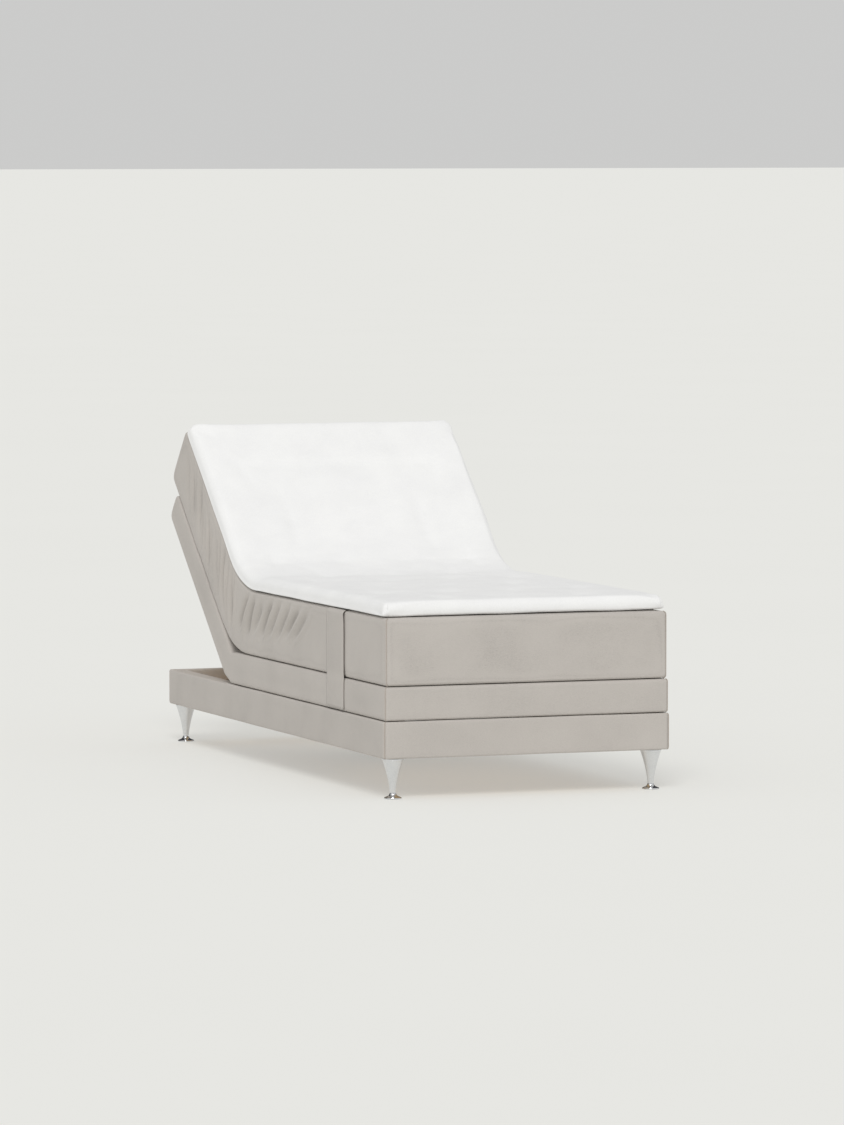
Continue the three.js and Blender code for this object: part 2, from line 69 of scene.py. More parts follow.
CALF_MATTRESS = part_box("calf_mattress")
CALF_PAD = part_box("calf_pad")
CALF_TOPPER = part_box("calf_topper")
CALF_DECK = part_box("calf_deck")
BASE_LOW, BASE_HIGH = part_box("side_rail_right")
RAIL_INNER_X = BASE_LOW.x
RAIL_INNER_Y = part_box("head_rail")[0].y

SLAB_HALF_WIDTH = CALF_PAD[1].x
SLAB_BOTTOM = CALF_DECK[0].z
SLAB_TOP = CALF_PAD[1].z
MATTRESS_TOP = CALF_MATTRESS[1].z
TOPPER_TOP = CALF_TOPPER[1].z
FOOT_Y = CALF_MATTRESS[0].y

# lengths of the flat layers at the head end, measured along the back section
SLAB_HEAD_Y = 1.112
MATTRESS_HEAD_Y = 1.188
TOPPER_HEAD_Y = 1.186
DECK_INSET = 0.0145

# the soft pieces part in the middle of the seat and of the thigh, where they ride one body
SEAT_SPLIT = 0.090
THIGH_SPLIT = -0.105
SLAB_SEAT_SPLIT = 0.200  # the slab bends more sharply at the thigh hinge, so it parts nearer the back

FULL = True
random = np.random.default_rng(7)


# ---- mesh helpers -------------------------------------------------------------------------------
def new_object(name, verts, faces):
    mesh = bpy.data.meshes.new(name)
    mesh.from_pydata([tuple(v) for v in verts], [], [tuple(f) for f in faces])
    mesh.update()
    mesh.polygons.foreach_set("use_smooth", [True] * len(mesh.polygons))
    obj = bpy.data.objects.new(name, mesh)
    bpy.context.collection.objects.link(obj)
    return obj


def coords(obj):
    flat = np.empty(len(obj.data.vertices) * 3)
    obj.data.vertices.foreach_get("co", flat)
    return flat.reshape(-1, 3)


def set_coords(obj, points):
    obj.data.vertices.foreach_set("co", np.ascontiguousarray(points, dtype=float).ravel())
    obj.data.update()


def normals(obj):
    flat = np.empty(len(obj.data.vertices) * 3)
    obj.data.vertices.foreach_get("normal", flat)
    return flat.reshape(-1, 3)


def smoothstep(low, high, value):
    t = np.clip((value - low) / (high - low), 0, 1)
    return t * t * (3 - 2 * t)


def waves(points, scale, seed, count=7):
    """A smooth, seeded unevenness between -1 and 1: a sum of plane waves in random directions."""
    source = np.random.default_rng(seed)
    total = np.zeros(len(points))
    for _ in range(count):
        direction = source.normal(size=3)
        direction /= np.linalg.norm(direction)
        wavelength = scale * source.uniform(0.6, 1.6)
        total += np.sin(points @ direction * (2 * math.pi / wavelength) + source.uniform(0, 6.28))
    return total / count * 1.6


def stations(low, high, edge, step, fine=()):
    """Grid lines from low to high: close together over the rounded edges and in the fine ranges."""
    lines = [low, low + 0.3 * edge, low + 0.62 * edge, low + edge]
    at = low + edge
    while at < high - edge - 1e-6:
        width = step
        for start, end, fine_step in fine:
            if start - step < at < end:
                width = min(width, fine_step)
        at += width
        lines.append(min(at, high - edge))
    lines += [high - 0.62 * edge, high - 0.3 * edge, high]
    return np.array(sorted(set(np.round(lines, 6))))


def grid_block(name, xs, ys, zs, radius):
    """A closed box of quads with rounded edges; radius is (x, y, z) or a pair of those for -Y and +Y."""
    index, verts, faces = {}, [], []

    def vertex(i, j, k):
        key = (i, j, k)
        if key not in index:
            index[key] = len(verts)
            verts.append((xs[i], ys[j], zs[k]))
        return index[key]

    def quad(*keys):
        faces.append([vertex(*key) for key in keys])

    nx, ny, nz = len(xs) - 1, len(ys) - 1, len(zs) - 1
    for i in range(nx):
        for j in range(ny):
            quad((i, j, 0), (i, j + 1, 0), (i + 1, j + 1, 0), (i + 1, j, 0))
            quad((i, j, nz), (i + 1, j, nz), (i + 1, j + 1, nz), (i, j + 1, nz))
    for i in range(nx):
        for k in range(nz):
            quad((i, 0, k), (i + 1, 0, k), (i + 1, 0, k + 1), (i, 0, k + 1))
            quad((i, ny, k), (i, ny, k + 1), (i + 1, ny, k + 1), (i + 1, ny, k))
    for j in range(ny):
        for k in range(nz):
            quad((0, j, k), (0, j, k + 1), (0, j + 1, k + 1), (0, j + 1, k))
            quad((nx, j, k), (nx, j + 1, k), (nx, j + 1, k + 1), (nx, j, k + 1))
    obj = new_object(name, verts, faces)
    points = coords(obj)
    low = np.array([xs[0], ys[0], zs[0]]) + radius
    high = np.array([xs[-1], ys[-1], zs[-1]]) - radius
    core = np.clip(points, low, high)
    away = (points - core) / radius
    length = np.linalg.norm(away, axis=1, keepdims=True)
    length[length < 1e-9] = 1
    set_coords(obj, core + away / length * radius)
    return obj


def round_corners(points, axes, corner, sides, radius):
    """Round one edge of a block in the plane of two axes; sides point outwards from the block."""
    centre = np.array(corner) - radius * np.array(sides)
    offset = (points[:, axes] - centre) * sides
    inside = (offset > 1e-9).all(axis=1)
    square = offset[inside]
    squash = square.max(axis=1) / np.linalg.norm(square, axis=1)
    rounded = centre + square * squash[:, None] * sides
    for column, axis in enumerate(axes):
        points[inside, axis] = rounded[:, column]


def face_outwards(obj, merge=None):
    """Turn all faces outwards, after merging points closer than the given distance."""
    mesh = bmesh.new()
    mesh.from_mesh(obj.data)
    if merge:
        bmesh.ops.remove_doubles(mesh, verts=mesh.verts, dist=merge)
    bmesh.ops.recalc_face_normals(mesh, faces=mesh.faces)
    mesh.to_mesh(obj.data)
    mesh.free()


def subdivide(obj, levels=1):
    modifier = obj.modifiers.new("finer", "SUBSURF")
    modifier.levels = levels
    modifier.render_levels = levels
    apply_modifiers(obj)


def apply_modifiers(obj):
    view = bpy.context.evaluated_depsgraph_get()
    mesh = bpy.data.meshes.new_from_object(obj.evaluated_get(view))
    old = obj.data
    obj.modifiers.clear()
    obj.data = mesh
    mesh.name = old.name
    bpy.data.meshes.remove(old)
    obj.data.polygons.foreach_set("use_smooth", [True] * len(obj.data.polygons))


def inflate(obj, pressure, cap, held, frames=14):
    """Cloth under inner pressure; held is each vertex's pin weight, and no point moves past the cap."""
    if not FULL:
        return
    start = coords(obj)
    pins = obj.vertex_groups.new(name="pins")
    for level in np.unique(np.round(held, 2)):
        if level > 0:
            chosen = np.nonzero(np.isclose(np.round(held, 2), level))[0]
            pins.add([int(v) for v in chosen], float(level), "REPLACE")
    modifier = obj.modifiers.new("cloth", "CLOTH")
    cloth = modifier.settings
    cloth.quality = 4
    cloth.mass = 0.4
    cloth.tension_stiffness = 20
    cloth.compression_stiffness = 20
    cloth.bending_stiffness = 1.5
    cloth.use_pressure = True
    cloth.uniform_pressure_force = pressure
    cloth.vertex_group_mass = "pins"
    cloth.effector_weights.gravity = 0
    modifier.collision_settings.use_collision = False
    scene = bpy.context.scene
    modifier.point_cache.frame_start = 1
    modifier.point_cache.frame_end = frames
    for step in range(1, frames + 1):
        scene.frame_set(step)
    view = bpy.context.evaluated_depsgraph_get()
    result = obj.evaluated_get(view).to_mesh()
    moved = np.empty(len(result.vertices) * 3)
    result.vertices.foreach_get("co", moved)
    moved = moved.reshape(-1, 3)
    obj.evaluated_get(view).to_mesh_clear()
    obj.modifiers.clear()
    obj.vertex_groups.clear()
    scene.frame_set(1)
    shift = moved - start
    length = np.linalg.norm(shift, axis=1, keepdims=True)
    length[length < 1e-9] = 1
    set_coords(obj, start + shift / length * (cap * np.tanh(length / cap)))


# ---- folding ------------------------------------------------------------------------------------
# Where each joint's bend begins and ends on the flat bed. The back joint's line is tilted by half of
# its rest angle, because its pieces are stored folded.
def bend_line(pivot, half_length, tilt=0.0, shift=0.0):
    along = np.array([0, math.cos(tilt), math.sin(tilt)])
    middle = pivot + shift * along
    return middle - half_length * along, middle + half_length * along


def fold_back(obj, line):
    start, end = line
    along = end - start
    length = np.linalg.norm(along)
    along = along / length
    flat = coords(obj)
    store_flat(obj, flat)
    offset = flat - BACK_PIVOT

    def turned(weight):
        cos, sin = np.cos(REST_ANGLE * weight), np.sin(REST_ANGLE * weight)
        y = offset[:, 1] * cos - offset[:, 2] * sin
        z = offset[:, 1] * sin + offset[:, 2] * cos
        return np.stack([offset[:, 0], y, z], axis=1) + BACK_PIVOT

    low, high = np.zeros(len(flat)), np.ones(len(flat))
    for _ in range(40):
        middle = (low + high) / 2
        t = np.clip((turned(middle) - start) @ along / length, 0, 1)
        above = t * t * (3 - 2 * t) > middle
        low = np.where(above, middle, low)
        high = np.where(above, high, middle)
    set_coords(obj, turned((low + high) / 2))


def store_flat(obj, flat):
    """Keep the flat cloth's coordinates, so that the weave follows the piece through its bend."""
    attribute = obj.data.attributes.new("flat_place", "FLOAT_VECTOR", "POINT")
    attribute.data.foreach_set("vector", np.ascontiguousarray(flat, dtype=np.float32).ravel())


def keep_between(obj, low, high):
    """Cut a copy of a flat piece to a range of Y and close the cuts with a plain cap."""
    mesh = bmesh.new()
    mesh.from_mesh(obj.data)
    for place, inward in ((low, 1), (high, -1)):
        if place is None:
            continue
        result = bmesh.ops.bisect_plane(
            mesh, geom=mesh.verts[:] + mesh.edges[:] + mesh.faces[:], dist=1e-7,
            plane_co=(0, place, 0), plane_no=(0, -inward, 0), clear_outer=True,
        )
        rim = [item for item in result["geom_cut"] if isinstance(item, bmesh.types.BMEdge)]
        cap = bmesh.ops.contextual_create(mesh, geom=rim)
        for face in cap["faces"]:
            face.smooth = False
        for edge in rim:
            edge.smooth = False
    bmesh.ops.recalc_face_normals(mesh, faces=mesh.faces)
    made = bpy.data.meshes.new(obj.name)
    mesh.to_mesh(made)
    mesh.free()
    piece = bpy.data.objects.new(obj.name, made)
    bpy.context.collection.objects.link(piece)
    return piece


MATTRESS_BEND = bend_line(BACK_PIVOT, 0.20, REST_ANGLE / 2)
SLAB_BEND = bend_line(BACK_PIVOT, 0.028, REST_ANGLE / 2)
THIGH_BEND = bend_line(THIGH_PIVOT, 0.090, shift=-0.103)
KNEE_BEND = bend_line(KNEE_PIVOT, 0.17)
SLAB_THIGH_BEND = bend_line(THIGH_PIVOT, 0.016)
SLAB_KNEE_BEND = bend_line(KNEE_PIVOT, 0.03)


def split_and_fold(whole, layer, slot, bends, seat_split=SEAT_SPLIT):
    """Part a flat layer into head, middle and foot pieces, each across one joint."""
    back_bend, thigh_bend, knee_bend = bends
    parts = {
        "head": (seat_split, None, [f"back_{layer}", f"seat_{layer}"]),
        "middle": (THIGH_SPLIT, seat_split, [f"thigh_{layer}"]),
        "foot": (None, THIGH_SPLIT, [f"calf_{layer}"]),
    }
    for part, (low, high, stands_for) in parts.items():
        piece = keep_between(whole, low, high)
        piece.name = f"{layer}_cloth_{part}"
        piece.data.name = piece.name
        if part == "head":
            fold_back(piece, back_bend)
            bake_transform(piece)
        elif part == "middle":
            store_flat(piece, coords(piece))
            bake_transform(piece)
        else:
            store_flat(piece, coords(piece))
            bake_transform(piece)
        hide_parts(*stands_for)
        dress(piece, MATERIALS[slot])
    bpy.data.objects.remove(whole)


# ---- materials ----------------------------------------------------------------------------------
class Nodes:
    """A small helper that adds shader nodes and links them."""

    def __init__(self, name, **surface):
        self.material = bpy.data.materials.new(name)
        self.material.use_nodes = True
        self.tree = self.material.node_tree
        self.shader = self.tree.nodes["Principled BSDF"]
        for socket, value in surface.items():
            self.shader.inputs[socket.replace("_", " ")].default_value = value

    def add(self, kind, inputs=None, **settings):
        node = self.tree.nodes.new("ShaderNode" + kind)
        for key, value in settings.items():
            setattr(node, key, value)
        for key, value in (inputs or {}).items():
            if isinstance(value, bpy.types.NodeSocket):
                self.tree.links.new(value, node.inputs[key])
            else:
                node.inputs[key].default_value = value
        return node

    def place(self, attribute=None):
        if attribute:
            return self.add("Attribute", attribute_name=attribute).outputs["Vector"]
        return self.add("TexCoord").outputs["Object"]

    def noise(self, vector, scale, detail=4.0, roughness=0.55):
        inputs = {"Vector": vector, "Scale": scale, "Detail": detail, "Roughness": roughness}
        return self.add("TexNoise", inputs).outputs["Fac"]

    def stretched(self, vector, scale):
        return self.add("Mapping", {"Vector": vector, "Scale": scale}).outputs[0]

    def math(self, operation, a, b=0.0):
        return self.add("Math", {0: a, 1: b}, operation=operation).outputs[0]

    def ramp(self, value, stops):
        node = self.add("ValToRGB", {"Fac": value})
        colours = node.color_ramp.elements
        colours[0].position, colours[0].color = stops[0][0], (*stops[0][1], 1)
        colours[1].position, colours[1].color = stops[-1][0], (*stops[-1][1], 1)
        for position, colour in stops[1:-1]:
            colours.new(position).color = (*colour, 1)
        return node.outputs["Color"]

    def bump(self, height, strength, distance, normal=None):
        inputs = {"Height": height, "Strength": strength, "Distance": distance}
        if normal is not None:
            inputs["Normal"] = normal
        return self.add("Bump", inputs).outputs["Normal"]

    def finish(self, colour=None, roughness=None, normal=None):
        for socket, value in (("Base Color", colour), ("Roughness", roughness), ("Normal", normal)):
            if value is not None:
                self.tree.links.new(value, self.shader.inputs[socket])
        return self.material


def weave_height(nodes, place, pitch):
    """Threads over and under: squared sines along the three axes, which read as a grid on any face."""
    parts = nodes.add("SeparateXYZ", {"Vector": place})
    total = None
    for axis in ("X", "Y", "Z"):
        turn = nodes.math("MULTIPLY", parts.outputs[axis], math.pi / pitch)
        ridge = nodes.math("ABSOLUTE", nodes.math("SINE", turn))
        total = ridge if total is None else nodes.math("ADD", total, ridge)
    return nodes.math("MULTIPLY", total, 1 / 3)


def tinted(colour, factor):
    return tuple(min(1.0, channel * factor) for channel in colour)


def bed_cloth_material():
    nodes = Nodes("bed_cloth", Roughness=0.92, Sheen_Weight=0.12, Sheen_Roughness=0.5)
    nodes.shader.inputs["Specular IOR Level"].default_value = 0.25
    place = nodes.place("flat_place")
    colour = (0.530, 0.496, 0.464)
    weave = weave_height(nodes, place, 0.0016)
    threads = nodes.noise(nodes.stretched(place, (160.0, 160.0, 900.0)), 1.0, 3.0)
    melange = nodes.noise(place, 520.0, 2.0)
    broad = nodes.noise(place, 5.0, 3.0)
    mixed = nodes.math("ADD", nodes.math("MULTIPLY", melange, 0.34), nodes.math("MULTIPLY", threads, 0.26))
    mixed = nodes.math("ADD", mixed, nodes.math("MULTIPLY", broad, 0.24))
    mixed = nodes.math("ADD", mixed, nodes.math("MULTIPLY", weave, 0.16))
    # painted shade: the cloth's colour is darkened down in a crease, where shade falls
    crease_painted_shade = nodes.add("Attribute", attribute_name="painted_crease_shade").outputs["Fac"]
    mixed = nodes.math("SUBTRACT", mixed, nodes.math("MULTIPLY", crease_painted_shade, 0.17))
    tints = ((0.34, 0.72), (0.42, 0.91), (0.50, 1.00), (0.66, 1.10))
    shade = nodes.ramp(mixed, [(place_on_ramp, tinted(colour, tint)) for place_on_ramp, tint in tints])
    fine = nodes.bump(weave, 0.35, 0.0004)
    normal = nodes.bump(nodes.noise(place, 60.0, 5.0), 0.25, 0.0012, fine)
    return nodes.finish(shade, normal=normal)


def topper_cloth_material():
    nodes = Nodes("topper_cloth", Roughness=0.9, Sheen_Weight=0.1, Sheen_Roughness=0.4)
    nodes.shader.inputs["Specular IOR Level"].default_value = 0.2
    place = nodes.place("flat_place")
    knit = nodes.add("TexVoronoi", {"Vector": place, "Scale": 340.0}).outputs["Distance"]
    soft = nodes.noise(place, 9.0, 3.0)
    fuzz = nodes.noise(place, 240.0, 3.0)
    mixed = nodes.math("ADD", nodes.math("MULTIPLY", soft, 0.5), nodes.math("MULTIPLY", fuzz, 0.5))
    stops = [(0.30, (0.875, 0.875, 0.88)), (0.55, (0.925, 0.925, 0.925)), (0.75, (0.96, 0.96, 0.955))]
    shade = nodes.ramp(mixed, stops)
    fine = nodes.bump(knit, 0.3, 0.0006)
    normal = nodes.bump(nodes.noise(place, 28.0, 4.0), 0.3, 0.002, fine)
    return nodes.finish(shade, normal=normal)


def piping_material():
    nodes = Nodes("piping_cloth", Roughness=0.9)
    place = nodes.place()
    twist = nodes.noise(place, 700.0, 3.0)
    shade = nodes.ramp(twist, [(0.3, (0.40, 0.355, 0.315)), (0.7, (0.55, 0.49, 0.44))])
    return nodes.finish(shade, normal=nodes.bump(twist, 0.4, 0.0004))


def timber_material():
    nodes = Nodes("birch_plywood", Roughness=0.6, Coat_Weight=0.12)
    place = nodes.place()
    rings = nodes.add("TexWave", {
        "Vector": place, "Scale": 4.0, "Distortion": 7.0, "Detail": 3.0, "Detail Scale": 1.6,
    }, bands_direction="X", wave_type="BANDS").outputs["Fac"]
    fibre = nodes.noise(nodes.stretched(place, (90.0, 4.0, 90.0)), 3.0, 6.0)
    mixed = nodes.math("ADD", nodes.math("MULTIPLY", rings, 0.22), nodes.math("MULTIPLY", fibre, 0.78))
    stops = [(0.2, (0.50, 0.35, 0.20)), (0.5, (0.62, 0.46, 0.29)), (0.8, (0.70, 0.54, 0.36))]
    shade = nodes.ramp(mixed, stops)
    rough = nodes.math("ADD", nodes.math("MULTIPLY", fibre, 0.25), 0.45)
    return nodes.finish(shade, rough, nodes.bump(fibre, 0.25, 0.0008))


def metal_material(name, low, high, rough, metallic=1.0, grain=(300.0, 8.0, 300.0), bump=0.05):
    nodes = Nodes(name, Metallic=metallic)
    place = nodes.place()
    streak = nodes.noise(nodes.stretched(place, grain), 1.0, 4.0)
    spots = nodes.noise(place, 35.0, 4.0)
    mixed = nodes.math("ADD", nodes.math("MULTIPLY", streak, 0.5), nodes.math("MULTIPLY", spots, 0.5))
    shade = nodes.ramp(mixed, [(0.35, low), (0.65, high)])
    roughness = nodes.math("ADD", nodes.math("MULTIPLY", mixed, rough[1] - rough[0]), rough[0])
    return nodes.finish(shade, roughness, nodes.bump(streak, bump, 0.0003))


def plastic_material(name, low, high, rough):
    nodes = Nodes(name)
    place = nodes.place()
    grain = nodes.add("TexVoronoi", {"Vector": place, "Scale": 900.0}).outputs["Distance"]
    haze = nodes.noise(place, 22.0, 4.0)
    shade = nodes.ramp(haze, [(0.35, low), (0.65, high)])
    roughness = nodes.math("ADD", nodes.math("MULTIPLY", haze, 0.15), rough)
    return nodes.finish(shade, roughness, nodes.bump(grain, 0.2, 0.0003))


MATERIALS = {
    "bed_cloth": bed_cloth_material(),
    "topper_cloth": topper_cloth_material(),
    "timber": timber_material(),
    "chrome": metal_material(
        "chrome_plate", (0.70, 0.71, 0.72), (0.79, 0.795, 0.80), (0.05, 0.11), bump=0.01,
    ),
    "painted_steel": metal_material(
        "black_powder_coat", (0.022, 0.022, 0.025), (0.045, 0.045, 0.05), (0.42, 0.62), 0.0,
        (700.0, 700.0, 700.0), 0.3,
    ),
    "zinc_steel": metal_material("bright_zinc", (0.52, 0.54, 0.55), (0.70, 0.71, 0.72), (0.22, 0.38)),
    "nylon": plastic_material("natural_nylon", (0.72, 0.70, 0.64), (0.80, 0.79, 0.74), 0.4),
    "housing_plastic": plastic_material("dark_plastic", (0.018, 0.018, 0.021), (0.035, 0.035, 0.04), 0.42),
}
PIPING = piping_material()


def dress(obj, material):
    obj.data.materials.clear()
    obj.data.materials.append(material)


def dress_cad_nodes():
    for row in frame["record"]["subparts"]:
        node = frame["nodes"][row["node"]]
        dress(node, MATERIALS[row["material_slot"]])


# ---- mattress -----------------------------------------------------------------------------------
MATTRESS_SIDE_INSET = 0.003
MATTRESS_FOOT_INSET = 0.002
MATTRESS_EDGE = np.array([0.013, 0.013, 0.011])
MATTRESS_HEAD_ROUNDING = 0.030
SEAM_BAND = np.array([0.012, 0.012, 0.010])
MATTRESS_PRESSURE, MATTRESS_PUFF = 2.5, 0.0016

# in the rest pose the top and the bottom of the mattress turn in arcs of these radii, and its back
# part stands this far off the platform
TOP_FOLD_RADIUS = 0.40
BOTTOM_FOLD_RADIUS = 0.36
BACK_LIFT_OFF = 0.006

# Loose folds of the cover, on the seat and along the back: the first fold's place and the next one's
# distance, the middle and reach of a fold as shares of the height, its depth and how that fades from
# fold to fold, and its width.
FOLD_GROUPS = (
    {
        "count": 8, "first": 0.275, "spacing": -0.079, "lean": lambda number: -0.60 - 0.11 * number,
        "middle": (0.56, 0.64), "reach": (0.22, 0.30), "depth": 0.0170, "fading": 0.05,
        "depth_range": (0.8, 1.15), "width": (0.016, 0.020),
    },
    {
        "count": 15, "first": 0.425, "spacing": 0.042, "lean": lambda number: 0.72 - 0.35 * math.exp(-number),
        "middle": (0.45, 0.62), "reach": (0.24, 0.34), "depth": 0.0155, "fading": 0.035,
        "depth_range": (0.6, 1.15), "width": (0.010, 0.014),
    },
)
FOLD_SHIFT, LEAN_SHIFT = 0.010, 0.12
FOLD_SEEDS = {-1: 31, 1: 57}
RIDGE_SHARE, GROOVE_SHARE, GROOVE_OFFSET = 0.45, 0.95, 1.7


def fold_rise(y, height, radius):
    """What to add to a level at each flat Y, so that it comes out of fold_back as an arc of that radius."""
    half = REST_ANGLE / 2
    tangent = radius * math.tan(half)
    corner = np.array([-height * math.tan(half), height])
    up_back = np.array([math.cos(REST_ANGLE), math.sin(REST_ANGLE)])
    seat = [(t, height) for t in np.linspace(-1.5, corner[0] - tangent, 150, endpoint=False)]
    turn = np.linspace(0, REST_ANGLE, 80)
    arc = np.stack([np.sin(turn), 1 - np.cos(turn)], axis=1) * radius + corner - (tangent, 0)
    back = [corner + up_back * t for t in np.linspace(tangent, 1.2, 120)[1:]]
    folded = np.concatenate([seat, arc, back])
    start, end = MATTRESS_BEND[0][1:] - BACK_PIVOT[1:], MATTRESS_BEND[1][1:] - BACK_PIVOT[1:]
    length = np.linalg.norm(end - start)
    weight = smoothstep(0, length, (folded - start) @ (end - start) / length)
    cos, sin = np.cos(REST_ANGLE * weight), np.sin(REST_ANGLE * weight)
    flat_y = folded[:, 0] * cos + folded[:, 1] * sin
    flat_z = folded[:, 1] * cos - folded[:, 0] * sin
    order = np.argsort(flat_y)
    return np.interp(y - BACK_PIVOT[1], flat_y[order], flat_z[order] - height)


def upper_rise(y):
    """How far the top of the mattress and the topper stand above their even height."""
    rise = fold_rise(y, MATTRESS_TOP - BACK_PIVOT[2], TOP_FOLD_RADIUS)
    return rise + BACK_LIFT_OFF * smoothstep(BACK_PIVOT[1], BACK_PIVOT[1] + 0.4, y)


def bell(value):
    return np.exp(-0.5 * value**2)


def side_folds(points, side, bottom, top):
    """Loose folds of the cover on one side, as a height: each is a ridge with a groove beside it."""
    source = np.random.default_rng(FOLD_SEEDS[side])
    height = top - bottom
    y, z = points[:, 1], points[:, 2]
    level = (z - bottom) / height
    total = np.zeros(len(points))
    for group in FOLD_GROUPS:
        for number in range(group["count"]):
            centre = group["first"] + group["spacing"] * number + source.uniform(-FOLD_SHIFT, FOLD_SHIFT)
            lean = group["lean"](number) + source.uniform(-LEAN_SHIFT, LEAN_SHIFT)
            middle, reach = source.uniform(*group["middle"]), source.uniform(*group["reach"])
            depth = group["depth"] * (1 - group["fading"] * number) * source.uniform(*group["depth_range"])
            width = source.uniform(*group["width"])
            curve = source.uniform(-0.2, 0.5)
            line = centre + lean * (level - middle) * height + curve * (level - middle) ** 2 * height
            across = (y - line) / width
            fade = np.exp(-np.abs((level - middle) / reach) ** 3.0)
            total += depth * fade * (RIDGE_SHARE * bell(across) - GROOVE_SHARE * bell(across - GROOVE_OFFSET))
    return total


def fold_cover(obj, low, high):
    """Push the folds into both sides and store a painted shade for each crease, stronger where the crease is
    deeper, to darken the cloth's colour there.
    """
    points = coords(obj)
    outward = normals(obj)
    sides = smoothstep(0.5, 0.95, np.abs(outward[:, 0]))
    crease_painted_shade = np.zeros(len(points))
    for side in (-1, 1):
        chosen = np.sign(points[:, 0]) == side
        folds = side_folds(points, side, low[2], high[2])
        points[:, 0] += np.where(chosen, side * sides * folds, 0)
        # painted shade: the deeper the crease, the darker the cloth is painted there
        crease_painted_shade = np.where(chosen, sides * smoothstep(0.001, 0.012, -folds), crease_painted_shade)
    attribute = obj.data.attributes.new("painted_crease_shade", "FLOAT", "POINT")
    attribute.data.foreach_set("value", np.ascontiguousarray(crease_painted_shade, dtype=np.float32))
    upright = 1 - smoothstep(0.75, 0.98, np.abs(outward[:, 2]))
    return points + outward * (upright * 0.0006 * waves(points, 0.16, 3))[:, None]


def mattress():
    low = np.array([
        -SLAB_HALF_WIDTH + MATTRESS_SIDE_INSET, FOOT_Y + MATTRESS_FOOT_INSET, SLAB_TOP + 0.0012,
    ])
    high = np.array([
        SLAB_HALF_WIDTH - MATTRESS_SIDE_INSET, MATTRESS_HEAD_Y - 0.003, MATTRESS_TOP - 0.0005,
    ])
    fine = [(-0.36, 1.10, 0.0085)]
    obj = grid_block(
        "mattress", stations(low[0], high[0], MATTRESS_EDGE[0], 0.020),
        stations(low[1], high[1], MATTRESS_EDGE[1], 0.016, fine),
        stations(low[2], high[2], MATTRESS_EDGE[2], 0.010), MATTRESS_EDGE,
    )
    start = coords(obj)
    round_corners(start, (1, 2), (high[1], low[2]), (1, -1), MATTRESS_HEAD_ROUNDING)
    set_coords(obj, start)
    # the seams and the bottom hold still while the cover puffs out a little
    near_edge = (start < low + SEAM_BAND) | (start > high - SEAM_BAND)
    seam = near_edge.sum(axis=1) >= 2
    bottom = start[:, 2] < low[2] + SEAM_BAND[2]
    inflate(obj, MATTRESS_PRESSURE, MATTRESS_PUFF, np.where(seam | bottom, 1.0, 0.0))
    subdivide(obj)
    points = fold_cover(obj, low, high)
    # the cover lifts off the platform over the hinge
    level = np.clip((points[:, 2] - low[2]) / (high[2] - low[2]), 0, 1)
    lower_rise = fold_rise(points[:, 1], SLAB_TOP - BACK_PIVOT[2], BOTTOM_FOLD_RADIUS)
    points[:, 2] += lower_rise * (1 - level) + upper_rise(points[:, 1]) * level
    set_coords(obj, points)
    split_and_fold(obj, "mattress", "bed_cloth", (MATTRESS_BEND, THIGH_BEND, KNEE_BEND))


# ---- topper -------------------------------------------------------------------------------------
TOPPER_EDGE = np.array([0.020, 0.020, 0.019])
TOPPER_CORNER = 0.030
TOPPER_PRESSURE, TOPPER_PUFF = 2.2, 0.006
HEM_WIDTH, HEM_LIFT = 0.03, 0.0016
TUFT_SPACING = (0.215, 0.262)
TUFT_ROWS, FIRST_TUFT_Y, TUFT_EDGE_X = 8, -0.86, 0.40
TUFT_TIE, TUFT_SPREAD, TUFT_DEPTH = 0.013, 0.02025, 0.0030


def tuft_places():
    """Where the topper is tied down: rows across, every other row shifted by half a space."""
    places = []
    for row in range(TUFT_ROWS):
        y = FIRST_TUFT_Y + row * TUFT_SPACING[1]
        shift = 0.5 * TUFT_SPACING[0] if row % 2 else 0.0
        for column in range(-2, 3):
            x = column * TUFT_SPACING[0] + shift
            if abs(x) < TUFT_EDGE_X:
                places.append((x, y))
    return places


def square_lower_edge(points, half, bottom):
    """Push the lower rounding of the long sides outwards, so that it is squarer than the upper one."""
    radius = TOPPER_EDGE[0]
    out = (np.abs(points[:, 0]) - (half - radius)) / radius
    lower = (points[:, 2] < bottom + TOPPER_EDGE[2] - 1e-6) & (out > 0)
    squared = half - radius + radius * np.clip(out, 0, 1) ** 0.3
    points[:, 0] = np.where(lower, np.sign(points[:, 0]) * squared, points[:, 0])


